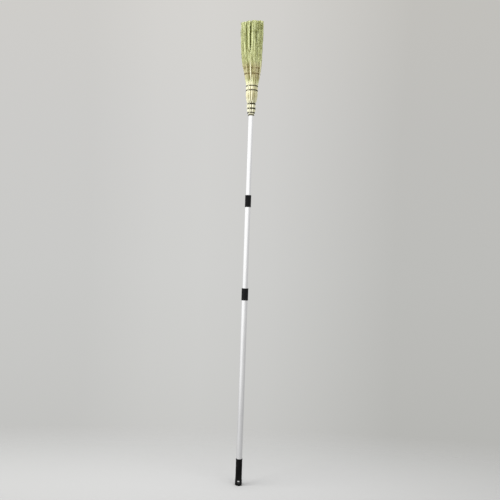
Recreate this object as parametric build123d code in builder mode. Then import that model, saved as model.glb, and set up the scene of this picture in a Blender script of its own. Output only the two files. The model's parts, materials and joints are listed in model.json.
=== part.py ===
"""A telescopic snow broom: a tied broomcorn head on a pole of three sliding aluminium tubes.

The origin is the middle of the grip's bottom end. +Z runs up the pole and X runs across the
broad face of the brush. All sizes are in millimetres, and the pole stands half drawn out.
"""
from build123d import *
from collections import namedtuple
import math
import os

# ------------------------------------------------------------------ driving dimensions: pole
tube_wall = 1.0
top_tube_diameter = 22.0
tube_play = 0.5  # radial room between one tube and the next
bottom_tube_length = 898.0
mid_tube_length = 885.0
top_tube_length = 853.0
mid_tube_showing = 385.0  # from the lower collar to the upper one
top_tube_showing = 377.0  # from the upper collar to the neck of the head
tube_in_head = 55.0

# ------------------------------------------------------------------ driving dimensions: grip
grip_length = 126.0
grip_floor = 30.0  # solid end below the pole
grip_wall = 1.2
grip_rim_height = 6.0
grip_rim_step = 0.5
grip_foot_step = 1.2
grip_foot_height = 27.0
grip_foot_slope = 4.0
grip_toe = 3.0
hang_hole_radius = 7.0
hang_hole_height = 17.0

# ------------------------------------------------------------------ driving dimensions: collars
collar_length = 57.0
collar_wall = 1.95
collar_lip = 6.0
collar_band = 7.0  # plain band at each end
collar_rib_count = 16
collar_rib_depth = 0.7
collar_groove_share = 0.45
collar_edge = 0.6

# ------------------------------------------------------------------ driving dimensions: locks
lower_stud_diameter = 8.0
upper_stud_diameter = 6.0
plug_flange = 3.0
plug_spigot = 22.0
stud_socket = 16.0
stud_tail = 2.0
sleeve_length = 34.0
sleeve_throat = 12.0
sleeve_rim_wall = 2.6
sleeve_throat_room = 1.4
sleeve_sides = 24
plug_sides = 12
sleeve_slot_width = 3.0
sleeve_slot_length = 24.0
wedge_engagement = 20.0
wedge_skirt = 5.0
nut_flats_per_diameter = 1.625
nut_height_per_diameter = 0.8

# ------------------------------------------------------------------ driving dimensions: head
neck_length = 147.0
lobe_count = 13
lobe_depth_share = 0.05
dowel_in_tube = 65.0
dowel_in_head = 80.0
cord_size = 2.6
cord_pitch = 3.2
cord_quarter_turns = 5
cord_seat_room = 0.4  # above and below a cord band, between the stalks' swellings
brush_length = 446.0
brush_root = 5.0
brush_root_sunk = 3.0
strand_pairs = 150
strand_radius = 0.95
strand_tip_radius = 0.6
straight_core_share = 0.8  # strands nearer the middle than this run straight to their tips
tip_slope = 5.0  # how much higher the brush is cut on its right side than in its middle
tip_ragged = 9.0

# Heights above the neck's foot of the cord bands, and the stalks' depth over the tube there.
neck_bands = [(3.6, 1.2), (15.0, 5.6), (33.0, 7.2), (56.0, 6.0), (119.0, 15.2), (139.0, 15.2)]
# The same for the swellings between the bands.
neck_swells = [(9.4, 3.6), (24.0, 9.2), (44.0, 9.4), (70.0, 12.6), (91.0, 16.4), (107.0, 17.3),
               (129.0, 17.5)]
neck_top_depth = 17.8
# Heights above the neck's foot, the brush's growth in half width and half depth there, and how
# far its middle has moved along X, since the brush leans off the pole's line.
brush_levels = [(255.0, 19.6, -5.2, -4.4), (445.0, 26.2, -2.6, -8.6)]
stitch_heights = [196.0, 223.0]

# ------------------------------------------------------------------ clearances
glue_gap = 0.05  # radial, round a piece glued or pressed in place
guide_gap = 0.1  # radial, at a collar's lip round the sliding tube
sleeve_gap = 0.05  # radial, round an expander sleeve in its tube
thread_gap = 0.05  # radial, between a stud and the nut that runs on it
flange_gap = 0.2  # radial, round a plug's flange in the outer tube
turn_gap = 0.3  # between faces that turn on each other
stalk_gap = 0.2  # between the stalks and what they are tied round
cord_gap = 0.5  # between a cord and the stalks under it

# ------------------------------------------------------------------ derived radii and heights
top_radius = top_tube_diameter / 2
top_bore = top_radius - tube_wall
mid_bore = top_radius + tube_play
mid_radius = mid_bore + tube_wall
bottom_bore = mid_radius + tube_play
bottom_radius = bottom_bore + tube_wall

bottom_tube_foot = grip_floor
bottom_tube_top = bottom_tube_foot + bottom_tube_length
lower_collar_top = bottom_tube_top + collar_lip
mid_tube_top = lower_collar_top + mid_tube_showing + collar_length - collar_lip
mid_tube_foot = mid_tube_top - mid_tube_length
upper_collar_top = mid_tube_top + collar_lip
neck_foot = upper_collar_top + top_tube_showing
top_tube_top = neck_foot + tube_in_head
top_tube_foot = top_tube_top - top_tube_length
neck_top = neck_foot + neck_length
brush_root_radius = top_radius + neck_top_depth
golden_share = (math.sqrt(5) - 1) / 2  # spreads the strands and their tips evenly

Lock = namedtuple("Lock", "outer_bore inner_bore stud_radius height")
locks = {
    "lower": Lock(bottom_bore, mid_radius - tube_wall, lower_stud_diameter / 2, mid_tube_foot),
    "upper": Lock(mid_bore, top_bore, upper_stud_diameter / 2, top_tube_foot),
}


def save(piece, name):
    """Label a finished piece and write its file."""
    piece.label = name
    export_step(piece, f"parts/{name}.step")


def flat_sided(rings):
    """A closed solid of flat faces through a stack of rings, each of as many points."""
    faces = [Face(Wire.make_polygon(rings[0])), Face(Wire.make_polygon(rings[-1]))]
    for low, high in zip(rings, rings[1:]):
        for i in range(len(low)):
            faces.append(Face(Wire.make_polygon([low[i - 1], low[i], high[i], high[i - 1]])))
    return Solid(Shell(faces))


# ------------------------------------------------------------------ pole


def pole_tube(radius, foot, length):
    """A drawn aluminium tube."""
    with BuildPart() as tube:
        with BuildSketch(Plane.XY.offset(foot)):
            Circle(radius)
            Circle(radius - tube_wall, mode=Mode.SUBTRACT)
        extrude(amount=length)
    return tube.part


def moulded_grip():
    """A moulded end grip: a sleeve round the pole over a solid end with a hanging hole."""
    body = bottom_radius + glue_gap + grip_wall
    foot = body + grip_foot_step
    rim = body + grip_rim_step
    rim_foot = grip_length - grip_rim_height
    with BuildPart() as grip:
        with BuildSketch(Plane.XZ):
            Polygon((0, 0), (foot - grip_toe, 0), (foot, grip_toe), (foot, grip_foot_height),
                    (body, grip_foot_height + grip_foot_slope), (body, rim_foot),
                    (rim, rim_foot), (rim, grip_length), (0, grip_length), align=None)
        revolve(axis=Axis.Z)
        with BuildSketch(Plane.XY.offset(grip_floor)):
            Circle(bottom_radius + glue_gap)
        extrude(amount=grip_length, mode=Mode.SUBTRACT)
        with BuildSketch(Plane.XZ.offset(-foot)):
            with Locations((0, hang_hole_height)):
                Circle(hang_hole_radius)
        extrude(amount=2 * foot, mode=Mode.SUBTRACT)
    return grip.part


def ribbed_collar(outer_tube, inner_tube, top):
    """A lock collar glued on the outer tube's end, with a lip that guides the inner tube."""
    outer = outer_tube + glue_gap + collar_wall
    foot = top - collar_length
    facets = 2 * collar_rib_count
    flat = outer * math.cos(math.pi / facets)
    groove_width = 2 * outer * math.sin(math.pi / facets) * collar_groove_share
    with BuildPart() as collar:
        with BuildSketch(Plane.XY.offset(foot)):
            RegularPolygon(outer, facets)
        extrude(amount=collar_length)
        ends = collar.faces().filter_by(Axis.Z).edges()
        chamfer(ends, collar_edge)
        with BuildSketch(Plane.XY.offset(foot)):
            Circle(outer_tube + glue_gap)
        extrude(amount=collar_length - collar_lip, mode=Mode.SUBTRACT)
        with BuildSketch(Plane.XY.offset(foot)):
            Circle(inner_tube + guide_gap)
        extrude(amount=collar_length, mode=Mode.SUBTRACT)
        with BuildSketch(Plane.XY.offset(foot + collar_band)):
            with PolarLocations(flat, collar_rib_count, start_angle=180 / facets):
                Rectangle(2 * collar_rib_depth, groove_width)
        extrude(amount=collar_length - 2 * collar_band, mode=Mode.SUBTRACT)
    return collar.part


# ------------------------------------------------------------------ twist locks


def sleeve_top(lock):
    return lock.height - plug_flange - turn_gap


def sleeve_foot(lock):
    return sleeve_top(lock) - sleeve_length


def wedge_foot(lock):
    return sleeve_foot(lock) - wedge_skirt


def nut_top(lock):
    return wedge_foot(lock) - turn_gap


def nut_foot(lock):
    return nut_top(lock) - nut_height_per_diameter * 2 * lock.stud_radius


def taper_half(lock, height):
    """Half the side of the sleeve's square tapered bore at a height."""
    narrow = lock.stud_radius + sleeve_throat_room
    wide = (lock.outer_bore - sleeve_rim_wall) / math.sqrt(2)
    start = sleeve_top(lock) - sleeve_throat
    share = (start - height) / (start - sleeve_foot(lock))
    return narrow + share * (wide - narrow)


def square_taper(lock, foot, top, room):
    """The sleeve's square taper between two heights, less some room on every side."""
    rings = []
    for height in (foot, top):
        half = taper_half(lock, height) - room
        corners = ((-half, -half), (half, -half), (half, half), (-half, half))
        rings.append([Vector(x, y, height) for x, y in corners])
    return flat_sided(rings)


def lock_plug(lock):
    """A plug glued in the inner tube's end, with a flange that the collar's lip stops."""
    with BuildPart() as plug:
        with BuildSketch(Plane.XY.offset(lock.height - plug_flange)):
            RegularPolygon(lock.outer_bore - flange_gap, plug_sides)
        extrude(amount=plug_flange)
        with BuildSketch(Plane.XY.offset(lock.height)):
            RegularPolygon(lock.inner_bore - glue_gap, plug_sides)
        extrude(amount=plug_spigot)
        with BuildSketch(Plane.XY.offset(lock.height - plug_flange)):
            Circle(lock.stud_radius + glue_gap)
        extrude(amount=plug_flange + stud_socket, mode=Mode.SUBTRACT)
    return plug.part


def lock_stud(lock):
    """The steel stud that hangs from the plug and carries the wedge nut."""
    foot = nut_foot(lock) - stud_tail
    with BuildPart() as stud:
        with BuildSketch(Plane.XY.offset(foot)):
            Circle(lock.stud_radius)
        extrude(amount=lock.height + stud_socket - glue_gap - foot)
    return stud.part


def expander_sleeve(lock):
    """A split sleeve with a square tapered bore, which the wedge nut spreads in the tube."""
    outer = lock.outer_bore - sleeve_gap
    foot = sleeve_foot(lock)
    throat_foot = sleeve_top(lock) - sleeve_throat
    throat = 2 * taper_half(lock, throat_foot)
    slot_reach = 2 * lock.outer_bore
    taper = square_taper(lock, foot, throat_foot, 0)
    with BuildPart() as sleeve:
        with BuildSketch(Plane.XY.offset(foot)):
            RegularPolygon(outer, sleeve_sides)
        extrude(amount=sleeve_length)
        with BuildSketch(Plane.XY.offset(throat_foot)):
            Rectangle(throat, throat)
        extrude(amount=sleeve_throat, mode=Mode.SUBTRACT)
        add(taper, mode=Mode.SUBTRACT)
        with BuildSketch(Plane.XY.offset(foot)):
            Rectangle(slot_reach, sleeve_slot_width)
            Rectangle(sleeve_slot_width, slot_reach)
        extrude(amount=sleeve_slot_length, mode=Mode.SUBTRACT)
    return sleeve.part


def wedge_nut(lock):
    """The square wedge that runs on the stud and can't turn in the sleeve."""
    foot = wedge_foot(lock)
    top = sleeve_foot(lock) + wedge_engagement
    taper = square_taper(lock, foot, top, turn_gap)
    with BuildPart() as wedge:
        add(taper)
        with BuildSketch(Plane.XY.offset(foot)):
            Circle(lock.stud_radius + thread_gap)
        extrude(amount=top - foot, mode=Mode.SUBTRACT)
    return wedge.part


def end_nut(lock):
    """The hexagon nut at the stud's foot, which keeps the wedge nut on it."""
    flats = nut_flats_per_diameter * lock.stud_radius
    with BuildPart() as nut:
        with BuildSketch(Plane.XY.offset(nut_foot(lock))):
            RegularPolygon(flats, 6, major_radius=False)
            Circle(lock.stud_radius + glue_gap, mode=Mode.SUBTRACT)
        extrude(amount=nut_top(lock) - nut_foot(lock))
    return nut.part


# ------------------------------------------------------------------ head


def core_dowel():
    """A turned dowel: a spigot glued in the top tube and a core that the stalks are tied to."""
    foot = top_tube_top - dowel_in_tube
    with BuildPart() as dowel:
        with BuildSketch(Plane.XY.offset(foot)):
            Circle(top_bore - glue_gap)
        extrude(amount=dowel_in_tube)
        with BuildSketch(Plane.XY.offset(top_tube_top)):
            Circle(top_radius)
        extrude(amount=dowel_in_head)
    return dowel.part


def band_half_height():
    return (cord_quarter_turns / 4 * cord_pitch + cord_size) / 2 + cord_seat_room


def neck_stations():
    """Heights and stalk radii up the neck: drawn in under each band of cord, full between."""
    stations = [(height, depth) for height, depth in neck_swells]
    for height, depth in neck_bands:
        stations.append((max(height - band_half_height(), 0.0), depth))
        stations.append((height + band_half_height(), depth))
    stations.append((neck_length, neck_top_depth))
    return [(neck_foot + height, top_radius + depth) for height, depth in sorted(stations)]


def stalk_ring(height, radius):
    """A ring of round-shouldered stalks, of three points to a stalk."""
    valley = radius * (1 - lobe_depth_share)
    step = 2 * math.pi / lobe_count
    points = []
    for lobe in range(lobe_count):
        for reach, share in ((valley, -0.5), (radius, -0.22), (radius, 0.22)):
            angle = (lobe + share) * step
            points.append(Vector(reach * math.cos(angle), reach * math.sin(angle), height))
    return points


def stalk_bundle():
    """The tied stalks of the neck, fluted by their own roundness, on the tube and dowel."""
    stalks = flat_sided([stalk_ring(height, radius) for height, radius in neck_stations()])
    with BuildPart() as bundle:
        add(stalks)
        with BuildSketch(Plane.XY.offset(neck_foot - stalk_gap)):
            Circle(top_radius + stalk_gap)
        extrude(amount=tube_in_head + dowel_in_head + 2 * stalk_gap, mode=Mode.SUBTRACT)
    return bundle.part


def winding_route(half_x, half_y, start, lean):
    """A rising winding of one biarc to a quarter turn, with straight ends."""
    def place(quarter):
        angle = quarter * math.pi / 2
        rise = start + cord_pitch * quarter / 4
        return Vector(lean + half_x * math.cos(angle), half_y * math.sin(angle), rise)

    def heading(quarter):
        angle = quarter * math.pi / 2
        along = Vector(-half_x * math.sin(angle), half_y * math.cos(angle), 0) * (math.pi / 2)
        return (along + Vector(0, 0, cord_pitch / 4)).normalized()

    end = cord_quarter_turns
    with BuildLine() as route:
        Line(place(0) - heading(0) * cord_size, place(0))
        for quarter in range(end):
            near, far = place(quarter), place(quarter + 1)
            leave, arrive = heading(quarter), heading(quarter + 1)
            chord = far - near
            both = leave + arrive
            bend = 2 * (1 - leave.dot(arrive))
            root = math.sqrt(chord.dot(both) ** 2 + bend * chord.dot(chord))
            reach = (root - chord.dot(both)) / bend
            middle = (near + far + (leave - arrive) * reach) * 0.5
            across = ((far - arrive * reach) - (near + leave * reach)).normalized()
            TangentArc(near, middle, tangent=leave)
            TangentArc(middle, far, tangent=across)
        Line(place(end), place(end) + heading(end) * cord_size)
    return route.wires()[0]


def least_gap(route):
    """The least room between two turns of a winding, measured on points along it."""
    count = int(route.length / cord_size)
    points = [route @ (step / count) for step in range(count + 1)]
    same_turn = 4  # points this few steps apart lie on one turn
    gaps = []
    for i, near in enumerate(points):
        gaps += [(far - near).length for far in points[i + same_turn:]]
    return min(gaps) - cord_size


def wound_cord(name, inner_x, inner_y, height, lean=0.0):
    """A cord wound round the head at a height, swept as one unbroken three-sided length."""
    start = neck_foot + height - cord_quarter_turns / 4 * cord_pitch / 2
    route = winding_route(inner_x + cord_gap, inner_y + cord_gap, start, lean)
    print(f"{name}: least gap to itself {least_gap(route):.2f} mm")
    with BuildPart() as winding:
        with BuildSketch(Plane(origin=route @ 0, x_dir=(1, 0, 0), z_dir=route % 0)):
            Polygon((0, -cord_size / 2), (cord_size, 0), (0, cord_size / 2), align=None)
        sweep(path=route)
    return winding.part


def binding_cords():
    """Every winding of cord: the bands round the neck and the rows round the brush."""
    cords = []
    for number, (height, depth) in enumerate(neck_bands, start=1):
        radius = top_radius + depth
        cords.append(wound_cord(f"neck band {number}", radius, radius, height))
    for number, height in enumerate(stitch_heights, start=1):
        half_x, half_y, lean = brush_section(height)
        cords.append(wound_cord(f"brush row {number}", half_x + strand_radius,
                                half_y + strand_radius, height, lean))
    with BuildPart() as windings:
        add(cords)
    return windings.part


def brush_section(height):
    """The brush's half width and half depth, to its outer strands, and its lean at a height."""
    levels = [(neck_length, 0.0, 0.0, 0.0)] + brush_levels
    low, high = levels[0], levels[1]
    for next_low, next_high in zip(levels[1:], levels[2:]):
        if height > next_low[0]:
            low, high = next_low, next_high
    share = (height - low[0]) / (high[0] - low[0])
    wider, deeper, lean = (a + share * (b - a) for a, b in zip(low[1:], high[1:]))
    edge = brush_root_radius - strand_radius
    return edge + wider, edge + deeper, lean


def strand_spots():
    """Where the strands stand, as shares of the brush's half size, and each one's turn."""
    golden_angle = 2 * math.pi * (1 - golden_share)
    spots = []
    for pair in range(strand_pairs):
        reach = math.sqrt((pair + 0.5) / strand_pairs)
        across = reach * math.cos(pair * golden_angle / 2)
        along = reach * math.sin(pair * golden_angle / 2)
        spots += [(across, along, 0.0), (-across, -along, math.pi)]
    return spots


def strand_ring(across, along, turn, height, radius):
    """The three corners of a strand at a height."""
    half_x, half_y, lean = brush_section(height)
    corners = []
    for corner in range(3):
        angle = turn + corner * 2 * math.pi / 3
        corners.append(Vector(lean + half_x * across + radius * math.cos(angle),
                              half_y * along + radius * math.sin(angle), neck_foot + height))
    return corners


def brush_strand(index, spot):
    """One three-sided strand, from inside the root to its own ragged tip."""
    across, along, turn = spot
    tip = brush_length + tip_slope * across - tip_ragged * (index * golden_share % 1)
    levels = [(neck_length + brush_root - brush_root_sunk, strand_radius),
              (tip, strand_tip_radius)]
    if math.hypot(across, along) > straight_core_share:
        levels.insert(1, (brush_levels[0][0], strand_radius))
    return flat_sided([strand_ring(across, along, turn, *level) for level in levels])


def broomcorn_brush():
    """The loose broomcorn of the brush, standing on the slice where the stalks end."""
    strands = [brush_strand(index, spot) for index, spot in enumerate(strand_spots())]
    with BuildPart() as brush:
        with BuildSketch(Plane.XY.offset(neck_top)):
            RegularPolygon(brush_root_radius, 2 * lobe_count, major_radius=False)
        extrude(amount=brush_root)
        add(strands)
    return brush.part


# ------------------------------------------------------------------ build


def build_pole():
    save(moulded_grip(), "grip")
    save(pole_tube(bottom_radius, bottom_tube_foot, bottom_tube_length), "bottom_tube")
    save(ribbed_collar(bottom_radius, mid_radius, lower_collar_top), "lower_collar")
    save(pole_tube(mid_radius, mid_tube_foot, mid_tube_length), "mid_tube")
    save(ribbed_collar(mid_radius, top_radius, upper_collar_top), "upper_collar")
    save(pole_tube(top_radius, top_tube_foot, top_tube_length), "top_tube")


def build_locks():
    for place, lock in locks.items():
        save(lock_plug(lock), f"{place}_plug")
        save(lock_stud(lock), f"{place}_stud")
        save(expander_sleeve(lock), f"{place}_expander_sleeve")
        save(wedge_nut(lock), f"{place}_wedge_nut")
        save(end_nut(lock), f"{place}_end_nut")


def build_head():
    save(core_dowel(), "core_dowel")
    save(stalk_bundle(), "stalk_bundle")
    save(broomcorn_brush(), "broomcorn_brush")
    save(binding_cords(), "binding_cords")


os.makedirs("parts", exist_ok=True)
build_pole()
build_locks()
build_head()
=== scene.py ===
"""A telescopic snow broom: a tied broomcorn head on a pole of satin aluminium tubes.

The brush's fibres, the stalks of the neck, the cords that tie them, the lock collars and the grip
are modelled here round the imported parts. Lengths are in metres. Most are written in millimetres,
as a number times mm, or in a table that in_mm or marks reads.
"""

import bisect
import collections
import json
import math
import random

import bmesh
import bpy
from mathutils import Matrix, Vector


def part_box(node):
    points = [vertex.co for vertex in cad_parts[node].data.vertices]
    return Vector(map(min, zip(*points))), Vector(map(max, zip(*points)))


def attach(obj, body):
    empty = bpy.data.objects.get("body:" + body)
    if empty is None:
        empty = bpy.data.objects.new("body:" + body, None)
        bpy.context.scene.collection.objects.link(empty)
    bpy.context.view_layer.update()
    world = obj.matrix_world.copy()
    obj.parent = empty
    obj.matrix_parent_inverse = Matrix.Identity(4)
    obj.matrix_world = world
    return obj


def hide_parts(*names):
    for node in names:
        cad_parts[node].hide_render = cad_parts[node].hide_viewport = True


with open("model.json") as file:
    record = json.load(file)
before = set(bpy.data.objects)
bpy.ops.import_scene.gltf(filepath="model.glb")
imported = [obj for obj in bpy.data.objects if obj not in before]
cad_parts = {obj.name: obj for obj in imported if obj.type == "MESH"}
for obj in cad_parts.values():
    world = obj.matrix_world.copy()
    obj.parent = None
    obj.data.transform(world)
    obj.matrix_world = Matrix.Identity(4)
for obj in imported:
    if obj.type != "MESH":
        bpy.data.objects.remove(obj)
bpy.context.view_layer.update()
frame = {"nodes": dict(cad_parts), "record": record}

mm = 0.001
golden_angle = math.pi * (3 - math.sqrt(5))

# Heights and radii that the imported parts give.
grip_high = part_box("grip")[1]
neck_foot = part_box("stalk_bundle")[0].z
neck_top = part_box("stalk_bundle")[1].z
brush_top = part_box("broomcorn_brush")[1].z
pole_radius = {part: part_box(part)[1].x for part in ("bottom_tube", "mid_tube", "top_tube")}

# ------------------------------------------------------------------ the photograph's view

# The focal length and the scale at the pole, in the photograph's pixels.
focal_pixels = 654.7
pixels_per_metre = 210.7
camera_height = 1.1165
camera_side = 17.2 * mm
camera_roll = math.radians(1.97)
frame_pixels = 500
sensor_width = 36.0


def make_camera():
    """The level camera, turned a little about its own axis, in front of the broom."""
    data = bpy.data.cameras.new("view")
    data.sensor_width = sensor_width
    data.lens = sensor_width * focal_pixels / frame_pixels
    camera = bpy.data.objects.new("view", data)
    bpy.context.scene.collection.objects.link(camera)
    turn = Matrix.Rotation(math.pi / 2, 4, "X") @ Matrix.Rotation(camera_roll, 4, "Z")
    distance = focal_pixels / pixels_per_metre
    camera.matrix_world = Matrix.Translation((camera_side, -distance, camera_height)) @ turn
    bpy.context.scene.camera = camera


# ------------------------------------------------------------------ nodes for the materials


def new_material(name, roughness, metallic=0.0):
    """A material and its shader, with the values that are the same all over it."""
    material = bpy.data.materials.new(name)
    material.use_nodes = True
    shader = material.node_tree.nodes["Principled BSDF"]
    shader.inputs["Roughness"].default_value = roughness
    shader.inputs["Metallic"].default_value = metallic
    return material, shader


def add_node(material, kind, inputs=None, **settings):
    """A node of the material, with its settings and its unlinked inputs."""
    node = material.node_tree.nodes.new(kind)
    for name, value in settings.items():
        setattr(node, name, value)
    for name, value in (inputs or {}).items():
        node.inputs[name].default_value = value
    return node


def link(material, output, target):
    """Join a node's output to another node's input."""
    material.node_tree.links.new(output, target)


def stretched_noise(material, scale, stretch, detail=4.0):
    """Noise on the piece's own coordinates, drawn out along its length by stretch."""
    place = add_node(material, "ShaderNodeTexCoord")
    squeeze = add_node(material, "ShaderNodeMapping", {"Scale": (1.0, 1.0, 1.0 / stretch)})
    noise = add_node(material, "ShaderNodeTexNoise", {"Scale": scale, "Detail": detail})
    link(material, place.outputs["Object"], squeeze.inputs["Vector"])
    link(material, squeeze.outputs["Vector"], noise.inputs["Vector"])
    return noise.outputs["Fac"]


def ramp(material, value, stops):
    """A colour ramp through (position, colour) stops."""
    node = add_node(material, "ShaderNodeValToRGB")
    steps = node.color_ramp.elements
    while len(steps) < len(stops):
        steps.new(0.5)
    for step, (position, colour) in zip(steps, stops):
        step.position = position
        step.color = (*colour, 1.0)
    link(material, value, node.inputs["Fac"])
    return node.outputs["Color"]


def mixed(material, blend, factor, first, second):
    """Two colours mixed by a number or by another node's value."""
    node = add_node(material, "ShaderNodeMix", data_type="RGBA", blend_type=blend)
    factor_in, first_in, second_in = node.inputs[0], node.inputs[6], node.inputs[7]
    for socket, value in ((factor_in, factor), (first_in, first), (second_in, second)):
        if isinstance(value, bpy.types.NodeSocket):
            link(material, value, socket)
        elif isinstance(value, tuple):
            socket.default_value = (*value, 1.0)
        else:
            socket.default_value = value
    return node.outputs[2]


def ranged(material, value, low, high, new_low=0.0, new_high=1.0):
    """A value carried from one range to another."""
    node = add_node(material, "ShaderNodeMapRange", {"From Min": low, "From Max": high,
                                                     "To Min": new_low, "To Max": new_high})
    link(material, value, node.inputs["Value"])
    return node.outputs["Result"]


def bump(material, shader, height, distance):
    """Fine relief from a value, as high as distance."""
    node = add_node(material, "ShaderNodeBump", {"Distance": distance, "Strength": 1.0})
    link(material, height, node.inputs["Height"])
    link(material, node.outputs["Normal"], shader.inputs["Normal"])


# ------------------------------------------------------------------ materials


def satin_aluminium():
    """Drawn tube: fine lines along its length, and a faint unevenness in its gloss."""
    material, shader = new_material("satin_aluminium", 0.3, metallic=1.0)
    lines = stretched_noise(material, 1400.0, 60.0)
    patches = stretched_noise(material, 22.0, 5.0)
    tone = ramp(material, patches, ((0.3, (0.76, 0.76, 0.765)), (0.7, (0.84, 0.84, 0.84))))
    link(material, tone, shader.inputs["Base Color"])
    link(material, ranged(material, lines, 0.3, 0.7, 0.17, 0.27), shader.inputs["Roughness"])
    bump(material, shader, lines, 0.02 * mm)
    return material


def moulded_plastic(name, colour, roughness, gloss=0.5):
    """Moulded plastic with a fine grain and faint paler patches of dust."""
    material, shader = new_material(name, roughness)
    shader.inputs["Specular IOR Level"].default_value = gloss
    grain = stretched_noise(material, 1800.0, 1.0)
    dust = stretched_noise(material, 60.0, 3.0)
    paler = tuple(min(1.0, part * 1.5 + 0.006) for part in colour)
    link(material, ramp(material, dust, ((0.42, colour), (0.75, paler))),
         shader.inputs["Base Color"])
    link(material, ranged(material, grain, 0.3, 0.7, roughness - 0.07, roughness + 0.07),
         shader.inputs["Roughness"])
    bump(material, shader, grain, 0.06 * mm)
    return material


def zinc_steel():
    """Zinc plated steel with a faint bloom."""
    material, shader = new_material("zinc_steel", 0.35, metallic=1.0)
    bloom = stretched_noise(material, 240.0, 1.0)
    link(material, ramp(material, bloom, ((0.3, (0.52, 0.53, 0.55)), (0.7, (0.66, 0.66, 0.66)))),
         shader.inputs["Base Color"])
    bump(material, shader, bloom, 0.02 * mm)
    return material


def turned_wood():
    """Bare hardwood with its grain along the dowel."""
    material, shader = new_material("turned_wood", 0.6)
    grain = stretched_noise(material, 420.0, 24.0, 6.0)
    link(material, ramp(material, grain, ((0.3, (0.45, 0.30, 0.16)), (0.7, (0.66, 0.50, 0.31)))),
         shader.inputs["Base Color"])
    bump(material, shader, grain, 0.1 * mm)
    return material


def straw(name, stops, dark, roughness, spotting):
    """Dry straw: its colour follows its height, each stalk's own tint down to a dark tone, fine
    streaks and spots. The tint that the pieces carry also holds painted shade and painted
    highlight."""
    material, shader = new_material(name, roughness)
    shader.inputs["Specular IOR Level"].default_value = 0.3
    place = add_node(material, "ShaderNodeTexCoord")
    parts = add_node(material, "ShaderNodeSeparateXYZ")
    link(material, place.outputs["Object"], parts.inputs["Vector"])
    share = ranged(material, parts.outputs["Z"], neck_foot, brush_top)
    by_height = ramp(material, share, stops)
    tint = add_node(material, "ShaderNodeAttribute", attribute_name="tint")
    own = ramp(material, tint.outputs["Fac"],
               ((0.0, dark), (0.5, (0.84, 0.85, 0.76)), (1.0, (1.22, 1.22, 1.25))))
    tinted = mixed(material, "MULTIPLY", 1.0, by_height, own)
    streaks = stretched_noise(material, 900.0, 30.0, 5.0)
    streak_tone = ramp(material, streaks, ((0.3, (0.74, 0.70, 0.60)), (0.65, (1.0, 1.0, 1.0))))
    streaked = mixed(material, "MULTIPLY", 0.7, tinted, streak_tone)
    spots = stretched_noise(material, 190.0, 3.5, 2.0)
    spot_tone = ramp(material, spots, ((0.36, (0.52, 0.47, 0.25)), (0.46, (0.95, 0.94, 0.88)),
                                       (0.62, (1.08, 1.08, 1.1))))
    link(material, mixed(material, "MULTIPLY", spotting, streaked, spot_tone),
         shader.inputs["Base Color"])
    bump(material, shader, streaks, 0.12 * mm)
    return material


def tight_twine(name, colour, painted_sheen_colour, roughness):
    """Tightly laid twine, with a painted sheen: a paler colour on the crowns of its fine strands.
    """
    material, shader = new_material(name, roughness)
    shader.inputs["Specular IOR Level"].default_value = 0.25
    strand = stretched_noise(material, 1500.0, 0.5, 3.0)
    link(material, ramp(material, strand, ((0.35, colour), (0.75, painted_sheen_colour))),
         shader.inputs["Base Color"])
    bump(material, shader, strand, 0.35 * mm)
    return material


# ------------------------------------------------------------------ making pieces


def take_on(piece, material, body, replaced=()):
    """Give a piece its material and the body it rides on, and hide the parts it replaces."""
    piece.data.materials.clear()
    piece.data.materials.append(material)
    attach(piece, body)
    if replaced:
        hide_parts(*replaced)
    return piece


def new_piece(name, mesh):
    """A piece with its mesh, at the origin."""
    piece = bpy.data.objects.new(name, mesh)
    bpy.context.scene.collection.objects.link(piece)
    return piece


sharp_edge = math.radians(40)


def mesh_piece(name, bm, sharp_angle=sharp_edge):
    """A piece from a bmesh, smooth but for its sharp edges."""
    bmesh.ops.recalc_face_normals(bm, faces=bm.faces)
    mesh = bpy.data.meshes.new(name)
    bm.to_mesh(mesh)
    bm.free()
    mesh.shade_smooth()
    mesh.set_sharp_from_angle(angle=sharp_angle)
    return new_piece(name, mesh)


def spun(places, steps, centre=(0, 0, 0), axis=(0, 0, 1), closed=False):
    """A bmesh of a line through places, turned once about an axis."""
    bm = bmesh.new()
    knots = [bm.verts.new(place) for place in places]
    ends = knots[1:] + knots[:1] if closed else knots[1:]
    edges = [bm.edges.new(pair) for pair in zip(knots, ends)]
    bmesh.ops.spin(bm, geom=knots + edges, cent=centre, axis=axis, angle=2 * math.pi,
                   steps=steps, use_merge=True)
    bmesh.ops.remove_doubles(bm, verts=bm.verts, dist=0.001 * mm)
    return bm


end_bulge = 0.4  # how far a tube's closed end stands out, as a share of its radius


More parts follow.
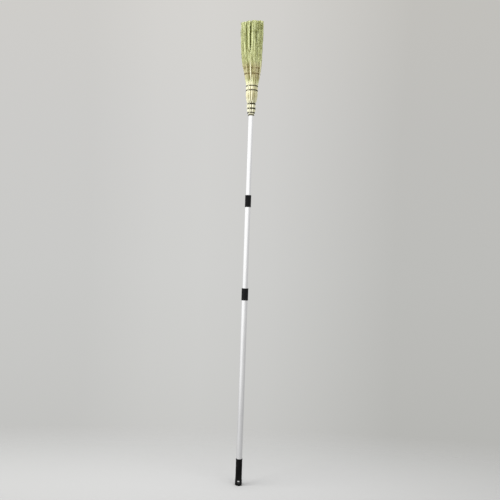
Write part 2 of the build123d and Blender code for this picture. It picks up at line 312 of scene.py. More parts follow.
def tube_piece(name, tubes, side_steps=0, paint=None):
    """Many tapered tubes as one mesh. A tube is (points, radii, tint), and its points keep the
    tint, to which paint adds its own for their place."""
    curve = bpy.data.curves.new(name, "CURVE")
    curve.dimensions = "3D"
    curve.bevel_depth = 1.0
    curve.bevel_resolution = side_steps
    for points, radii, _ in tubes:
        spline = curve.splines.new("POLY")
        spline.points.add(len(points) + 1)
        first = points[0] + (points[0] - points[1]).normalized() * radii[0] * end_bulge
        last = points[-1] + (points[-1] - points[-2]).normalized() * radii[-1] * end_bulge
        for knot, place, radius in zip(spline.points, [first, *points, last], [0, *radii, 0]):
            knot.co = (*place, 1.0)
            knot.radius = radius
    holder = bpy.data.objects.new(name + "_path", curve)
    bpy.context.scene.collection.objects.link(holder)
    mesh = bpy.data.meshes.new_from_object(holder)
    bpy.data.objects.remove(holder)
    mesh.name = name
    around = 4 + 2 * side_steps  # a curve's bevel has four sides, and two more for each step
    tints = [tint for points, _, tint in tubes for _ in range((len(points) + 2) * around)]
    if len(tints) != len(mesh.vertices):
        raise ValueError(f"{name}: {len(mesh.vertices)} points, {len(tints)} tints")
    if paint:
        tints = [tint + paint(vert.co) for tint, vert in zip(tints, mesh.vertices)]
    mesh.attributes.new("tint", "FLOAT", "POINT").data.foreach_set("value", tints)
    bm = bmesh.new()
    bm.from_mesh(mesh)
    bpy.data.meshes.remove(mesh)
    bmesh.ops.remove_doubles(bm, verts=bm.verts, dist=0.0001 * mm)
    return mesh_piece(name, bm, sharp_angle=math.pi)


def between(stops, at):
    """A value on straight lines through (place, value) stops, level past both ends."""
    places = [place for place, _ in stops]
    high = min(max(bisect.bisect_right(places, at), 1), len(stops) - 1)
    (near, first), (far, second) = stops[high - 1], stops[high]
    share = min(max((at - near) / (far - near), 0.0), 1.0)
    return first + (second - first) * share


def eased(low, high, at):
    """0 below low, 1 above high, and an even curve between."""
    share = min(max((at - low) / (high - low), 0.0), 1.0)
    return share * share * (3 - 2 * share)


# ------------------------------------------------------------------ the head's shape


def in_mm(rows):
    """Rows of lengths that are written in millimetres."""
    return [tuple(length * mm for length in row) for row in rows]


def marks(rows):
    """Marks on the head's faces. A row is which face, then in millimetres how far across, half the
    width and the heights that it runs between, and last what else it holds."""
    return [(face, at * mm, reach * mm, low * mm, high * mm, *rest)
            for face, at, reach, low, high, *rest in rows]


# The bands round the neck: each one's height above the neck's foot and its turns of twine.
bands = [(2.6 * mm, 2), (13.4 * mm, 2), (32.6 * mm, 3), (54.8 * mm, 3), (117.8 * mm, 2),
         (138.6 * mm, 2)]
# Heights above the neck's foot and radii of the tied stalks, drawn in under each band.
neck_profile = in_mm([
    (0.0, 13.0), (7.0, 13.4), (9.5, 15.2), (12.8, 16.0), (16.0, 17.6), (21.0, 19.6), (25.0, 20.6),
    (29.0, 19.4), (33.0, 18.3), (37.0, 19.4), (44.0, 20.8), (51.0, 19.2), (56.0, 17.3),
    (61.0, 19.4), (70.0, 23.8), (91.0, 27.4), (107.0, 28.4), (114.0, 27.8), (119.0, 26.5),
    (124.0, 27.8), (129.0, 28.4), (134.0, 27.8), (139.0, 26.5), (144.0, 28.0), (150.0, 29.2),
])
neck_length = neck_top - neck_foot
cut_slope = 5.0 * mm  # how much higher the brush is cut on its right side than in its middle
brush_length = brush_top - neck_foot - cut_slope + mm
# Heights above the neck's foot, and the brush's half width or half depth there.
half_widths = in_mm([
    (147.0, 28.6), (165.0, 31.8), (180.0, 35.2), (196.0, 37.8), (210.0, 40.4), (223.0, 41.8),
    (240.0, 44.6), (260.0, 47.0), (310.0, 49.0), (350.0, 51.8), (400.0, 53.6), (450.0, 53.6),
])
half_depths = in_mm([
    (147.0, 28.6), (172.0, 28.2), (200.0, 26.4), (255.0, 24.2), (350.0, 25.0), (450.0, 26.4),
])
# Heights, and how far the brush leans off the pole's line there.
leans = in_mm([
    (147.0, 0.0), (196.0, -1.0), (223.0, -1.9), (243.0, -3.8), (262.0, -5.6), (310.0, -7.0),
    (400.0, -8.4), (450.0, -8.9),
])
stitch_rows = [196.0 * mm, 223.0 * mm]
stitch_depths = [0.9 * mm, 1.4 * mm]  # how far each row's cord lies under the brush's outline
stitch_pinch = 1.3 * mm  # how far a row draws the brush in
pinch_reach = 6.0 * mm  # and how far above and below the row that is felt


def outline(height):
    """Half the head's width and depth at a height above the neck's foot."""
    if height < neck_length:
        radius = between(neck_profile, height)
        return radius, radius
    pinch = sum(stitch_pinch * math.exp(-((height - row) / pinch_reach) ** 2)
                for row in stitch_rows)
    return between(half_widths, height) - pinch, between(half_depths, height) - pinch


# Partings in the brush: which face, how far across, half their gap, and their heights.
front, back = -1, 1
partings = marks([
    (front, -15.0, 4.6, 306.0, 480.0),
    (front, -17.5, 2.0, 160.0, 240.0),
    (front, -3.0, 1.6, 165.0, 245.0),
    (back, 12.0, 2.8, 280.0, 470.0),
    (back, -27.0, 2.0, 310.0, 450.0),
    (back, 28.0, 1.6, 250.0, 400.0),
])
parting_reach = 8.0 * mm  # how far to its sides a parting pushes the strands
parting_depth = 13.0 * mm
parting_fade = 35.0 * mm  # the height over which a parting opens and closes
# Streaks of paler or darker straw on the faces: which face, how far across, half their width,
# their heights, and how much paler they are. Some are the straw's own tone. The dark ones in the
# partings and between the neck's stalks are painted shade, and the pale ones along the partings'
# edges are painted highlight.
streaks = marks([
    (front, -51.0, 7.0, 330.0, 460.0, 0.20),
    (front, -38.0, 5.0, 285.0, 325.0, -0.18),
    (front, -33.0, 4.0, 310.0, 400.0, -0.15),
    (front, -29.5, 2.6, 310.0, 404.0, -0.40),
    (front, -36.0, 3.0, 416.0, 470.0, 0.35),
    # Painted highlight beside the front parting at -15 mm, and painted shade in it.
    (front, -24.0, 3.0, 320.0, 440.0, 0.80),
    (front, -15.5, 3.0, 320.0, 405.0, -0.60),
    (front, -13.0, 2.2, 405.0, 470.0, -0.45),
    (front, -18.5, 2.0, 408.0, 470.0, 0.30),
    (front, -6.0, 3.2, 315.0, 430.0, 0.80),
    (front, -9.0, 4.4, 225.0, 320.0, 0.42),
    (front, 1.5, 3.0, 265.0, 330.0, 0.30),
    # Painted shade in the lower front partings.
    (front, -20.0, 2.6, 195.0, 240.0, -0.50),
    (front, -2.5, 2.8, 190.0, 240.0, -0.45),
    (front, -28.0, 3.2, 200.0, 250.0, 0.35),
    (front, 18.0, 6.0, 190.0, 250.0, 0.24),
    (front, 24.0, 12.0, 200.0, 400.0, 0.07),
    (front, 28.0, 4.0, 185.0, 250.0, -0.12),
    (front, 36.0, 3.0, 250.0, 440.0, -0.20),
    (front, -14.0, 9.0, 160.0, 186.0, -0.55),
    (front, 15.0, 8.0, 162.0, 196.0, 0.22),
    # Painted shade between the neck's stalks.
    (front, -5.4, 1.7, 66.0, 108.0, -0.7),
    (front, 5.4, 1.8, 62.0, 108.0, -0.6),
    (front, -15.0, 2.0, 64.0, 90.0, -0.3),
    (back, 3.0, 3.6, 170.0, 400.0, 0.50),
    # Painted shade in the back parting.
    (back, 12.0, 2.6, 280.0, 470.0, -0.35),
    (back, -12.0, 3.4, 260.0, 430.0, 0.40),
    (back, 34.0, 4.0, 300.0, 450.0, 0.35),
])
streak_fade = 30.0 * mm  # the height over which a streak's ends fade
# The strands stand in tufts, and the tufts are drawn together into a few clumps.
clump_count, tuft_count = 24, 260
gather_share = 0.22  # how far a clump's strands are drawn towards its middle at the top
gather_low, gather_high = 200.0 * mm, 430.0 * mm
Tuft = collections.namedtuple("Tuft", "centre clump wave turn wave_length tint")


def window(low, high, fade, height):
    """1 between two heights, falling off to 0 above and below."""
    return eased(low - fade / 2, low + fade / 2, height) * (
        1 - eased(high - fade / 2, high + fade / 2, height))


def streaks_and_painted_light(place):
    """How much paler the straw is where a streak passes, as its own tone or as painted light and
    shade.
    """
    height = place.z - neck_foot
    paler = 0.0
    for face, at, reach, low, high, amount in streaks:
        if place.y * face > 0:
            off = (place.x - at) / reach
            if abs(off) < 2:
                paler += amount * math.exp(-off * off) * window(low, high, streak_fade, height)
    return paler


def spiral_spots(rng, count, jitter):
    """Places spread evenly over the brush's section, as shares of its half width and depth."""
    spots = []
    for number in range(count):
        reach = math.sqrt((number + 0.5) / count)
        angle = number * golden_angle + rng.uniform(-jitter, jitter)
        spots.append(Vector((reach * math.cos(angle), reach * math.sin(angle))))
    return spots


def brush_tufts(rng):
    """The tufts that the fibres hold together in, each with its own wave and tint."""
    clumps = spiral_spots(rng, clump_count, 0.25)
    tufts = []
    for centre in spiral_spots(rng, tuft_count, 0.08):
        clump = min(clumps, key=lambda place: (place - centre).length)
        wave = Vector((rng.gauss(0.0, 1.4), rng.gauss(0.0, 1.0), 0.0)) * mm
        tufts.append(Tuft(centre, clump, wave, rng.uniform(0, 2 * math.pi),
                          rng.uniform(90.0, 190.0) * mm, rng.gauss(0.0, 0.13)))
    return tufts


def gathered(spot, clump, height):
    """A strand's spot in the brush's section, drawn towards its clump."""
    return spot.lerp(clump, gather_share * eased(gather_low, gather_high, height))


def brush_place(spot, clump, height, settled=None):
    """Where a strand with a spot in the brush's section is at a height. It keeps to one side of
    each parting, by the spot where it settles."""
    half_x, half_y = outline(height)
    across, along = gathered(spot, clump, height)
    x, y = between(leans, height) + across * half_x, along * half_y
    skin = half_y * math.sqrt(max(0.0, 1 - across * across))
    near_skin = eased(skin - parting_depth, skin - parting_depth / 2, abs(y))
    if near_skin:
        for face, at, gap, low, high in partings:
            opened = window(low, high, parting_fade, height) * near_skin
            if opened and y * face > 0:
                middle = (low + high) / 2
                kept = gathered(settled or spot, clump, middle)
                side = between(leans, middle) + kept.x * outline(middle)[0] - at
                x += (math.copysign(gap, side) * opened
                      * math.exp(-((x - at) / parting_reach) ** 2))
    return Vector((x, y, neck_foot + height))


# A strand's tint deep in the brush, kept dark as painted shade, what the outside adds to it,
# and how much it varies.
deep_shade_tint, outer_gain, tint_spread = 0.08, 0.52, 0.10
ragged_cut = 2.6 * mm  # how unevenly the strands are cut
worn_corner = 38.0 * mm  # how much shorter than the others some are in the top left corner
tuft_room = 1.6 / math.sqrt(tuft_count)  # how far a strand may stand from its tuft's centre
drawn_share, drawn_height = 0.55, 320.0 * mm  # how much nearer it then comes, and up to where
tucked_share, tucked_reach = 0.2, 45.0 * mm  # how far in a strand's foot starts, and up to where
sway_spread, tip_thinning = 0.35, 0.4  # how unsteady a strand runs in mm, and its tip's taper


def strand_tint(spot, rng):
    """Outer strands are paler and the ones deep in the brush darker: painted shade in the brush's
    depths, and in part the less bleached straw there.
    """
    outer = eased(0.5, 0.98, spot.length)
    return deep_shade_tint + outer_gain * outer + rng.gauss(0.0, tint_spread)


def cut_height(spot, rng):
    """Where a strand was cut: nearly level, but ragged and lower towards the left."""
    ragged = abs(rng.gauss(0.0, 1.0)) * ragged_cut
    ragged += rng.random() ** 2 * worn_corner * eased(0.35, 0.8, -spot.x)
    return brush_length + cut_slope * spot.x - ragged


def brush_strands(rng, tufts, count, lowest_foot, foot_spread, radius, levels):
    """Strands in their tufts, each of its own length, drawn together above the stitching."""
    strands = []
    for number in range(count):
        tuft = tufts[number % tuft_count]
        reach, angle = tuft_room * math.sqrt(rng.random()), rng.uniform(0, 2 * math.pi)
        offset = Vector((reach * math.cos(angle), reach * math.sin(angle)))
        foot = lowest_foot + rng.random() * foot_spread
        top = cut_height(tuft.centre, rng)
        thick = radius * rng.uniform(0.75, 1.25)
        settled = tuft.centre + offset * (1 - drawn_share)
        points, radii = [], []
        for level in range(levels):
            share = level / (levels - 1)
            height = foot + (top - foot) * share
            drawn = eased(stitch_rows[-1], drawn_height, height)
            spot = tuft.centre + offset * (1 - drawn_share * drawn)
            if spot.length > 1:
                spot.normalize()
            spot *= 1 - tucked_share * (1 - eased(foot - mm, foot + tucked_reach, height))
            sway = Vector((rng.gauss(0.0, sway_spread), rng.gauss(0.0, sway_spread), 0.0))
            swing = math.sin(tuft.turn + 2 * math.pi * height / tuft.wave_length)
            sway = sway * mm * share + tuft.wave * drawn * swing
            points.append(brush_place(spot, tuft.clump, height, settled) + sway)
            radii.append(thick * (1.0 - tip_thinning * share))
        strands.append((points, radii, strand_tint(tuft.centre, rng) + tuft.tint))
    return strands


def stray_fibres(rng, count):
    """Fibres that stand a little proud of the brush's sides."""
    rim, radius, levels, tint = 0.98, 0.42 * mm, 5, 0.45
    strays = []
    for _ in range(count):
        angle = rng.uniform(0, 2 * math.pi)
        spot = Vector((math.cos(angle), math.sin(angle))) * rim
        foot = rng.uniform(160.0, 380.0) * mm
        length = rng.uniform(30.0, 75.0) * mm
        stand = rng.uniform(1.0, 5.0) * mm
        points, radii = [], []
        for level in range(levels):
            share = level / (levels - 1)
            place = brush_place(spot, spot, min(foot + length * share, brush_length))
            points.append(place + Vector((spot.x, spot.y, 0.0)) * stand * share ** 1.5)
            radii.append(radius * (1 - 0.5 * share))
        strays.append((points, radii, tint + rng.gauss(0.0, 0.15)))
    return strays


def seed_husks(rng, count):
    """Small dark husks left on the outer fibres, more of them on the right than on the left."""
    rim, stand, dropped_share = 0.985, 0.9, 0.6
    lowest, spread = 215.0 * mm, 225.0 * mm
    husks = []
    for _ in range(count):
        angle = rng.uniform(0, 2 * math.pi)
        if math.cos(angle) < -0.1 and rng.random() < dropped_share:
            continue
        spot = Vector((math.cos(angle), math.sin(angle))) * rim
        height = lowest + math.sqrt(rng.random()) * spread
        foot = brush_place(spot, spot, height)
        out = Vector((spot.x, spot.y, 0.0)) * stand * mm
        along = Vector((rng.gauss(0.0, 0.25), rng.gauss(0.0, 0.25), 1.0)).normalized()
        half = along * rng.uniform(1.4, 3.0) * mm
        middle = foot + out
        husks.append(([middle - half, middle, middle + half],
                      [0.4 * mm, rng.uniform(0.8, 1.3) * mm, 0.2 * mm], rng.uniform(-0.05, 0.2)))
    return husks


# Peeled stalks that lie over the cords, and pale stems on the brush. Each is given by its heading
# in degrees round the head from the front, then in millimetres its heights, its radius and how
# far it stands out, and by its tint.
over_cords, on_brush = 0.9, 0.3
loose_places = [
    (-10.4, 138.0, 268.0, 1.6, 1.6, 0.9),
    (-37.0, 98.0, 160.0, 1.6, over_cords, 0.8),
    (-30.0, 40.0, 74.0, 1.3, over_cords, 0.7),
    (-66.0, 18.0, 70.0, 1.4, over_cords, 0.7),
    (-24.0, 4.0, 46.0, 1.3, over_cords, 0.7),
    (64.0, 182.0, 262.0, 1.5, over_cords, 0.6),
    (150.0, 170.0, 290.0, 1.8, over_cords, 0.8),
    (205.0, 108.0, 156.0, 1.7, over_cords, 0.8),
    (236.0, 24.0, 64.0, 1.5, over_cords, 0.8),
    (-17.0, 312.0, 432.0, 1.3, on_brush, 0.75),
    (2.4, 318.0, 425.0, 1.5, on_brush, 0.70),
    (0.5, 300.0, 372.0, 1.1, on_brush, 0.62),
    (-43.5, 276.0, 345.0, 1.4, on_brush, 0.70),
    (-56.0, 330.0, 410.0, 1.2, on_brush, 0.45),
    (12.0, 256.0, 276.0, 1.6, on_brush, 0.65),
    (172.0, 300.0, 420.0, 1.5, on_brush, 0.7),
    (160.0, 330.0, 436.0, 1.3, on_brush, 0.6),
    (214.0, 290.0, 400.0, 1.4, on_brush, 0.7),
]


def loose_stalks(rng):
    """The loose stalks, with their ends tucked in."""
    steps, tuck, bridged, tip_share = 24, 4.4 * mm, 6.0 * mm, 0.55
    stalks = []
    for heading, low, high, radius, reach, tint in loose_places:
        angle = math.radians(heading - 90.0)
        points, radii = [], []
        for step in range(steps + 1):
            share = step / steps
            arch = math.sin(math.pi * share)
            height = (low + (high - low) * share) * mm
            near = [outline(height + off) for off in (-bridged, 0.0, bridged)]
            proud = reach * mm - tuck * (1 - arch ** 0.35)
            half_x, half_y = (max(halves) + proud for halves in zip(*near))
            points.append(Vector((between(leans, height) + half_x * math.cos(angle),
                                  half_y * math.sin(angle), neck_foot + height)))
            radii.append(radius * mm * (tip_share + (1 - tip_share) * arch ** 0.5))
        stalks.append((points, radii, tint + rng.uniform(-0.04, 0.04)))
    return stalks


def brush_pieces(fibre, pale):
    """The brush: coarse stems from the neck, layers of fine fibres among them, and what is loose
    on its outside."""
    rng = random.Random(11)
    tufts = brush_tufts(rng)
    layers = [
        ("brush_stems", 780, 148.0 * mm, 30.0 * mm, 1.1 * mm, 9, ("broomcorn_brush",)),
        ("brush_fibres_lower", 2340, 165.0 * mm, 90.0 * mm, 0.66 * mm, 9, ()),
        ("brush_fibres_upper", 2600, 215.0 * mm, 110.0 * mm, 0.55 * mm, 8, ()),
    ]
    stray_count, husk_count = 120, 620
    for name, count, lowest_foot, foot_spread, radius, levels, replaced in layers:
        strands = brush_strands(rng, tufts, count, lowest_foot, foot_spread, radius, levels)
        piece = tube_piece(name, strands, paint=streaks_and_painted_light)
        take_on(piece, fibre, "top_section", replaced)
    strays = tube_piece("stray_fibres", stray_fibres(rng, stray_count), paint=streaks_and_painted_light)
    take_on(strays, fibre, "top_section")
    husks = tube_piece("seed_husks", seed_husks(rng, husk_count))
    take_on(husks, fibre, "top_section")
    take_on(tube_piece("loose_stalks", loose_stalks(rng), side_steps=2), pale,
            "top_section")


# How pale each thick stalk of the neck is, from the front one round by the right. Paler to the
# front and left and darker on the right: partly their own tone, partly painted light and shade
# from the side.
stalk_tints = [0.95, 0.38, 0.45, 0.48, 0.60, 0.80, 0.50, 0.72, 0.42, 0.78, 0.60, 0.74, 0.92, 0.80,
               0.86]


def neck_stalks(stalk):
    """Thick peeled stalks round the neck with thin ones sunk between them, pinched by every cord
    and running out into the brush. Low down they part a little at the front. The thin ones take
    the dark tone as painted shade between the thick ones, and all are darkened as painted shade
    where they run into the brush."""
    rng = random.Random(5)
    count, steps = len(stalk_tints), 56
    gap = 2 * math.pi / count
    skew_low, skew_high = 52.0 * mm, 80.0 * mm
    front_skew, skew_fade = 0.17, 0.5
    thin_sunk, end_thinning = 3.6 * mm, 0.75
    shade, shade_reach = 0.34, 30.0 * mm
    stalks = []
    for number in range(2 * count):
        thin = number % 2
        heading = -math.pi / 2 + gap * number / 2 + rng.uniform(-0.03, 0.03)
        top = rng.uniform(200.0, 300.0) * mm
        width = rng.uniform(0.30, 0.40) if thin else rng.uniform(0.68, 0.78)
        sunk = thin_sunk if thin else 0.0
        points, radii = [], []
        for step in range(steps):
            height = top * step / (steps - 1)
            half_x, half_y = outline(height)
            thinned = 1.0 - end_thinning * eased(neck_length, top, height)
            radius = width * gap / 2 * min(half_x, half_y) * thinned
            low_share = 1 - eased(skew_low, skew_high, height)
            angle = heading + gap / 2 * low_share
            angle += front_skew * low_share * math.exp(-(angle + math.pi / 2) / skew_fade)
            lean = between(leans, height)
            points.append(Vector((lean + (half_x - radius - sunk) * math.cos(angle),
                                  (half_y - radius - sunk) * math.sin(angle),
                                  neck_foot + height)))
            radii.append(radius)
        # Thin stalks get tint 0, the dark tone, as painted shade in the gaps.
        stalks.append((points, radii, 0.0 if thin else stalk_tints[number // 2]))

    # Streaks, and painted shade that darkens the stalks where they run into the brush.
    def paint(place):
        in_brush = eased(neck_length, neck_length + shade_reach, place.z - neck_foot)
        return streaks_and_painted_light(place) - shade * in_brush

    piece = tube_piece("neck_stalks", stalks, side_steps=3, paint=paint)
    return take_on(piece, stalk, "top_section", ("stalk_bundle",))


def neck_core(stalk):
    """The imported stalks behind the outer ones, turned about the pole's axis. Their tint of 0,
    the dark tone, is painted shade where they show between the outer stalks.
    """
    wall = 5.5 * mm
    bore = pole_radius["top_tube"] + 0.3 * mm
    profile = [(bore, 0.0)]
    profile += [(max(radius - wall, bore + mm), height) for height, radius in neck_profile]
    profile.append((bore, neck_profile[-1][0]))
    places = [(radius, 0.0, neck_foot + height) for radius, height in profile]
    piece = mesh_piece("neck_core", spun(places, steps=64, closed=True))
    # Tint 0, the dark tone: painted shade between the outer stalks.
    tint = piece.data.attributes.new("tint", "FLOAT", "POINT")
    tint.data.foreach_set("value", [0.0] * len(piece.data.vertices))
    return take_on(piece, stalk, "top_section")


# ------------------------------------------------------------------ cords


def band_cords(twine):
    """Bands of two or three turns of twine, with their ends tucked under at the back."""
    rng = random.Random(3)
    cord, pitch, per_turn = 1.2 * mm, 2.2 * mm, 36
    seat = 0.7  # how far out of the stalks the cord's middle lies, as a share of its radius
    end_tuck, tuck_steps, uneven = 1.6 * mm, 4, 0.08
    cords = []
    for height, turns in bands:
        start = math.pi / 2 + rng.uniform(-0.4, 0.4)
        points = []
        steps = turns * per_turn
        for step in range(steps + 1):
            angle = start + 2 * math.pi * step / per_turn
            level = height + pitch * (step / per_turn - turns / 2)
            tuck = end_tuck * (1 - eased(0, tuck_steps, min(step, steps - step)))
            radius = outline(height)[0] + cord * seat - tuck + rng.uniform(-uneven, uneven) * mm
            points.append(Vector((radius * math.cos(angle), radius * math.sin(angle),
                                  neck_foot + level)))
        cords.append((points, [cord] * len(points), 0.5))
    return take_on(tube_piece("band_cords", cords, side_steps=2), twine,
                   "top_section", ("binding_cords",))


def row_cords(twine):
    """Two rows of stitching. In each, a running cord goes round twice and dips under the fibres
    between its stitches, and a thinner one is whipped over it."""
    cord, whip = 1.3 * mm, 1.1 * mm
    turns, per_turn = 2, 96
    pitch, wander, dip = 2.0 * mm, 0.8 * mm, 2.0 * mm
    stitches, per_stitch = 24, 12
    whip_dip, whip_height, uneven = 1.8 * mm, 4.2 * mm, 0.4
    rng = random.Random(8)
    cords = []
    for height, depth in zip(stitch_rows, stitch_depths):
        half_x, half_y = outline(height)
        lean = between(leans, height)

        def place(angle, out, level):
            return Vector((lean + (half_x + out) * math.cos(angle),
                           (half_y + out) * math.sin(angle), neck_foot + level))

        start = rng.uniform(0, 2 * math.pi)
        points = []
        for step in range(turns * per_turn + 1):
            angle = 2 * math.pi * step / per_turn
            level = height + pitch * (step / per_turn - turns / 2)
            level += wander * math.sin(5 * angle + start)
            out = dip * math.sin(13 * angle + start) - depth
            points.append(place(angle, out, level))
        cords.append((points, [cord] * len(points), 0.5))
        points = []
        for step in range(stitches * per_stitch):
            phase = 2 * math.pi * step / per_stitch
            angle = 2 * math.pi * step / (stitches * per_stitch)
            out = whip_dip * math.cos(2 * phase) - depth
            level = height + whip_height * math.sin(phase) + rng.uniform(-uneven, uneven) * mm
            points.append(place(angle, out, level))
        cords.append((points, [whip] * len(points), 0.5))
    return take_on(tube_piece("row_cords", cords, side_steps=1), twine,
                   "top_section")


# ------------------------------------------------------------------ collars and grip


rib_count = 32
points_per_rib = 6


def collar_piece(name, node, held, sliding, body, plastic):
    """A lock collar: a plain band at each end, soft ribs between, and rounded ends. Its bore
    takes the tube that holds it, and the lip at its top guides the tube that slides."""
    low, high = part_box(node)
    outer, bore = high.x, pole_radius[sliding] + 0.1 * mm
    wide_bore = pole_radius[held] + 0.05 * mm
    band, edge, lip = 7.0 * mm, 0.5 * mm, 6.0 * mm
    ribbed, rib_end, rib_depth = outer - 0.2 * mm, band + 1.4 * mm, 0.9 * mm
    # Out under the foot, up the outside, over the rim, down the bore and out under the lip.
    profile = [
        (wide_bore, low.z + edge), (wide_bore + edge, low.z), (outer - edge, low.z),
        (outer - 0.3 * edge, low.z + 0.3 * edge), (outer, low.z + edge),
        (outer, low.z + band - edge), (ribbed, low.z + band), (ribbed, low.z + rib_end),
        (ribbed, high.z - rib_end), (ribbed, high.z - band), (outer, high.z - band + edge),
        (outer, high.z - edge), (outer - 0.3 * edge, high.z - 0.3 * edge),
        (outer - edge, high.z), (bore + edge, high.z), (bore, high.z - edge),
        (bore, high.z - lip), (wide_bore, high.z - lip),
    ]
    places = [(radius, 0.0, height) for radius, height in profile]
    bm = spun(places, steps=rib_count * points_per_rib, closed=True)
    for vert in bm.verts:
        if low.z + band + edge < vert.co.z < high.z - band - edge:
            angle = math.atan2(vert.co.y, vert.co.x)
            groove = rib_depth * (0.5 - 0.5 * math.cos(rib_count * angle))
            vert.co -= Vector((math.cos(angle), math.sin(angle), 0.0)) * groove
    return take_on(mesh_piece(name, bm), plastic, body, (node,))


def grip_piece(rubber):
    """The moulded grip: rounded end and rim, and the hanging hole cut through its solid end."""
    foot, body, rim = grip_high.x, grip_high.x - 1.2 * mm, grip_high.x - 0.7 * mm
    top, floor = grip_high.z, 30.0 * mm
    bore = pole_radius["bottom_tube"] + 0.05 * mm
    hole_radius, hole_height = 7.0 * mm, 17.0 * mm
    toe, toe_steps = 4.0 * mm, 6
    # Round the toe, up the outside, over the rim and down the bore.
    profile = [(0.0, 0.0), (foot - toe, 0.0)]
    for step in range(1, toe_steps + 1):
        angle = math.pi / 2 * step / toe_steps
        profile.append((foot - toe + toe * math.sin(angle), toe - toe * math.cos(angle)))
    profile += [(foot, 24.0 * mm), (foot - 0.2 * mm, 27.0 * mm), (body + 0.2 * mm, 30.0 * mm),
                (body, 33.0 * mm), (body, 60.0 * mm), (body, 90.0 * mm), (body, top - 8.0 * mm),
                (body + 0.1 * mm, top - 7.0 * mm), (rim - 0.1 * mm, top - 5.6 * mm),
                (rim, top - 5.0 * mm), (rim, top - 0.8 * mm), (rim - 0.3 * mm, top - 0.2 * mm),
                (rim - 0.8 * mm, top), (bore + 0.3 * mm, top), (bore, top - 0.4 * mm),
                (bore, floor), (0.0, floor)]
    places = [(radius, 0.0, height) for radius, height in profile]
    grip = mesh_piece("hand_grip", spun(places, steps=96))
    cutter = hole_cutter(hole_radius, hole_height, foot)
    cut = grip.modifiers.new("hole", "BOOLEAN")
    cut.operation, cut.solver, cut.object = "DIFFERENCE", "EXACT", cutter
    bpy.context.view_layer.update()
    shown = grip.evaluated_get(bpy.context.evaluated_depsgraph_get())
    mesh = bpy.data.meshes.new_from_object(shown)
    bpy.data.objects.remove(cutter)
    bpy.data.objects.remove(grip)
    mesh.shade_smooth()
    mesh.set_sharp_from_angle(angle=sharp_edge)
    return take_on(new_piece("hand_grip", mesh), rubber, "bottom_section",
                   ("grip",))


def hole_cutter(radius, height, reach):
    """A waisted plug along the hole, whose flared ends round the hole's mouths."""
    flare = 1.6 * mm
    profile = []
    for side in (-1, 1):
        mouth = [(radius + flare * 1.6, side * (reach + flare)),
                 (radius + flare, side * (reach - 0.2 * flare)),
                 (radius + 0.4 * flare, side * (reach - 1.2 * flare)),
                 (radius, side * (reach - 2.6 * flare))]
        profile += mouth if side < 0 else mouth[::-1]
    profile = [(0.0, profile[0][1])] + profile + [(0.0, profile[-1][1])]
    places = [(across, along, height) for across, along in profile]
    return mesh_piece("hole_cutter", spun(places, 48, centre=(0, 0, height), axis=(0, 1, 0)))


# ------------------------------------------------------------------ floor, light and background

floor_grey = (0.60, 0.60, 0.595)
floor_radius = 5.0
floor_stretch = 0.35  # the floor fades out more slowly across than away
fade_low, fade_high = 0.1, 1.0  # where it starts to fade, and where the background alone is left
view_edge = 0.36  # the part of a direction that points up, or across, at the frame's edge
sky_stops = ((0.0, (0.60, 0.60, 0.585)), (0.12, (0.585, 0.585, 0.57)),
             (0.26, (0.61, 0.61, 0.595)), (0.45, (0.632, 0.632, 0.618)),
             (0.75, (0.65, 0.645, 0.63)), (1.0, (0.672, 0.66, 0.635)))
side_stops = ((0.17, (0.93, 0.93, 0.93)), (0.30, (0.985, 0.985, 0.985)), (0.40, (1.0, 1.0, 1.0)),
              (0.54, (0.965, 0.965, 0.965)), (0.67, (0.885, 0.885, 0.88)),
              (0.80, (0.80, 0.80, 0.79)))
softbox_heading = (-0.80, -0.45, 3.5)  # the softbox reaches further round the higher it is
softbox_low, softbox_high = -1.7, 1.3
softbox_stops = ((0.03, 0.53), (0.20, 0.61), (0.40, 0.69), (0.53, 0.76), (0.60, 0.90),
                 (0.66, 1.22), (0.85, 1.24), (0.92, 1.34))
room_heading = (-0.15, -0.95, 0.25)  # the side of the room that gives the most light
room_stops = ((0.0, 0.34), (0.5, 0.56), (1.0, 1.1))


def greys(stops):
    """Colour stops from stops of (position, brightness)."""
    return [(position, (level, level, level)) for position, level in stops]


def make_floor():
    """A pale floor under the broom that fades out into the background."""
    bm = bmesh.new()
    bmesh.ops.create_circle(bm, cap_ends=True, segments=96, radius=floor_radius)
    floor = mesh_piece("floor", bm)
    material, shader = new_material("pale_floor", 0.9)
    shader.inputs["Base Color"].default_value = (*floor_grey, 1.0)
    shader.inputs["Specular IOR Level"].default_value = 0.0
    place = add_node(material, "ShaderNodeTexCoord")
    squeeze = add_node(material, "ShaderNodeMapping", {"Scale": (floor_stretch, 1.0, 1.0)})
    length = add_node(material, "ShaderNodeVectorMath", operation="LENGTH")
    link(material, place.outputs["Object"], squeeze.inputs["Vector"])
    link(material, squeeze.outputs["Vector"], length.inputs[0])
    fade = ranged(material, length.outputs["Value"], fade_low, fade_high)
    rays = add_node(material, "ShaderNodeLightPath")
    hidden = add_node(material, "ShaderNodeMath", operation="MAXIMUM")
    link(material, fade, hidden.inputs[0])
    link(material, rays.outputs["Is Glossy Ray"], hidden.inputs[1])
    clear = add_node(material, "ShaderNodeBsdfTransparent")
    blend = add_node(material, "ShaderNodeMixShader")
    output = material.node_tree.nodes["Material Output"]
    link(material, hidden.outputs[0], blend.inputs[0])
    link(material, shader.outputs[0], blend.inputs[1])
    link(material, clear.outputs[0], blend.inputs[2])
    link(material, blend.outputs[0], output.inputs["Surface"])
    floor.data.materials.append(material)


def turned_to(world, place, heading):
    """How far a direction of the world turns towards a heading: most along it, least away."""
    node = add_node(world, "ShaderNodeVectorMath", {1: heading}, operation="DOT_PRODUCT")
    link(world, place.outputs["Generated"], node.inputs[0])
    return node.outputs["Value"]


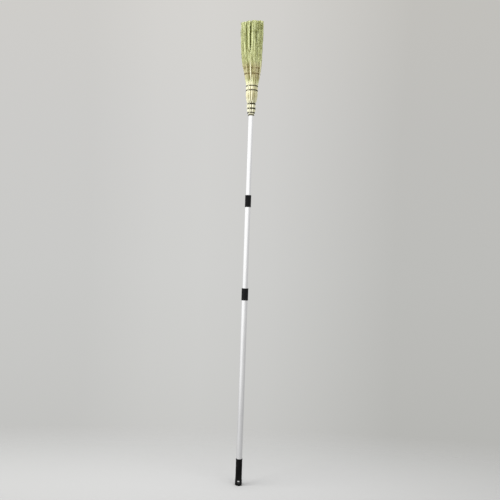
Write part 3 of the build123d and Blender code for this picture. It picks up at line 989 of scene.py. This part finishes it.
def make_background():
    """An even studio light all round. The camera sees a pale grey in its place, and glossy
    surfaces see a tall white softbox on the left."""
    world = bpy.data.worlds.new("studio")
    bpy.context.scene.world = world
    world.use_nodes = True
    background = world.node_tree.nodes["Background"]
    place = add_node(world, "ShaderNodeTexCoord")
    parts = add_node(world, "ShaderNodeSeparateXYZ")
    link(world, place.outputs["Generated"], parts.inputs["Vector"])
    upwards = ranged(world, parts.outputs["Z"], -view_edge, view_edge)
    sideways = ranged(world, parts.outputs["X"], -view_edge, view_edge)
    seen = mixed(world, "MULTIPLY", 1.0, ramp(world, upwards, sky_stops),
                 ramp(world, sideways, side_stops))
    towards_room = ranged(world, turned_to(world, place, room_heading), -1.0, 1.0)
    light = ramp(world, towards_room, greys(room_stops))
    towards_softbox = ranged(world, turned_to(world, place, softbox_heading),
                             softbox_low, softbox_high)
    mirrored = ramp(world, towards_softbox, greys(softbox_stops))
    rays = add_node(world, "ShaderNodeLightPath")
    lit = mixed(world, "MIX", rays.outputs["Is Glossy Ray"], light, mirrored)
    colour = mixed(world, "MIX", rays.outputs["Is Camera Ray"], lit, seen)
    link(world, colour, background.inputs["Color"])
    background.inputs["Strength"].default_value = 1.0


def add_lamp(name, place, aim, size, watts):
    """A soft rectangular lamp. Glossy surfaces see the background's softbox and not the lamp."""
    data = bpy.data.lights.new(name, "AREA")
    data.shape = "RECTANGLE"
    data.size, data.size_y = size
    data.energy = watts
    lamp = bpy.data.objects.new(name, data)
    bpy.context.scene.collection.objects.link(lamp)
    lamp.location = place
    lamp.visible_glossy = False
    lamp.rotation_mode = "QUATERNION"
    lamp.rotation_quaternion = (Vector(aim) - Vector(place)).to_track_quat("-Z", "Y")
    return lamp


def make_lamps():
    """The key stands to the left and a little in front, with weaker lamps on the right and above
    the brush."""
    add_lamp("key", (-2.7, -1.2, 2.0), (0.0, 0.0, 1.2), (2.4, 2.4), 62.0)
    add_lamp("fill", (1.8, -2.4, 1.8), (0.0, 0.0, 1.2), (2.4, 2.6), 30.0)
    add_lamp("top", (-0.5, -0.6, 4.2), (0.0, 0.0, 1.0), (1.8, 1.8), 26.0)


# ------------------------------------------------------------------ the whole broom


def finish_packed_parts(materials):
    """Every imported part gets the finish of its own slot, which shows on the parts that stay."""
    for entry in frame["record"]["subparts"]:
        part = frame["nodes"][entry["node"]]
        part.data.materials.clear()
        part.data.materials.append(materials[entry["material_slot"]])


def build():
    """Every piece of the broom, in its finish."""
    straw_stops = (
        (0.0, (0.77, 0.76, 0.63)), (0.14, (0.73, 0.72, 0.57)), (0.20, (0.66, 0.63, 0.44)),
        (0.30, (0.80, 0.78, 0.58)), (0.36, (0.68, 0.70, 0.44)), (0.41, (0.65, 0.61, 0.40)),
        (0.51, (0.56, 0.52, 0.31)), (0.57, (0.59, 0.62, 0.35)), (0.78, (0.61, 0.65, 0.37)),
        (1.0, (0.64, 0.68, 0.39)),
    )
    pale_stops = (
        (0.0, (0.84, 0.83, 0.66)), (0.50, (0.84, 0.83, 0.62)), (0.62, (0.72, 0.76, 0.45)),
    )
    brown, olive = (0.33, 0.29, 0.14), (0.34, 0.35, 0.11)
    pale = straw("pale_straw", pale_stops, brown, 0.5, 0.3)
    stalk = straw("peeled_straw", straw_stops, brown, 0.5, 0.35)
    fibre = straw("broomcorn", straw_stops, olive, 0.6, 0.65)
    plastic = moulded_plastic("black_plastic", (0.004, 0.004, 0.0045), 0.38, 0.10)
    rubber = moulded_plastic("black_rubber", (0.003, 0.003, 0.003), 0.42, 0.06)
    twine = tight_twine("tarred_twine", (0.010, 0.008, 0.0015), (0.042, 0.034, 0.008), 0.55)
    materials = {
        "tube_aluminium": satin_aluminium(),
        "collar_plastic": plastic,
        "grip_rubber": rubber,
        "lock_nylon": moulded_plastic("white_nylon", (0.70, 0.69, 0.64), 0.45),
        "lock_steel": zinc_steel(),
        "dowel_wood": turned_wood(),
        "broomcorn_stalk": stalk,
        "broomcorn_fibre": fibre,
        "binding_cord": twine,
    }
    finish_packed_parts(materials)
    brush_pieces(fibre, pale)
    neck_stalks(stalk)
    neck_core(stalk)
    band_cords(twine)
    row_cords(tight_twine("brown_twine", (0.11, 0.078, 0.026), (0.24, 0.17, 0.070), 0.75))
    collar_piece("lower_lock_collar", "lower_collar", "bottom_tube", "mid_tube", "bottom_section",
                 plastic)
    collar_piece("upper_lock_collar", "upper_collar", "mid_tube", "top_tube", "mid_section",
                 plastic)
    grip_piece(rubber)


make_camera()
make_background()
make_lamps()
make_floor()
build()
bpy.context.scene.view_settings.view_transform = "Standard"
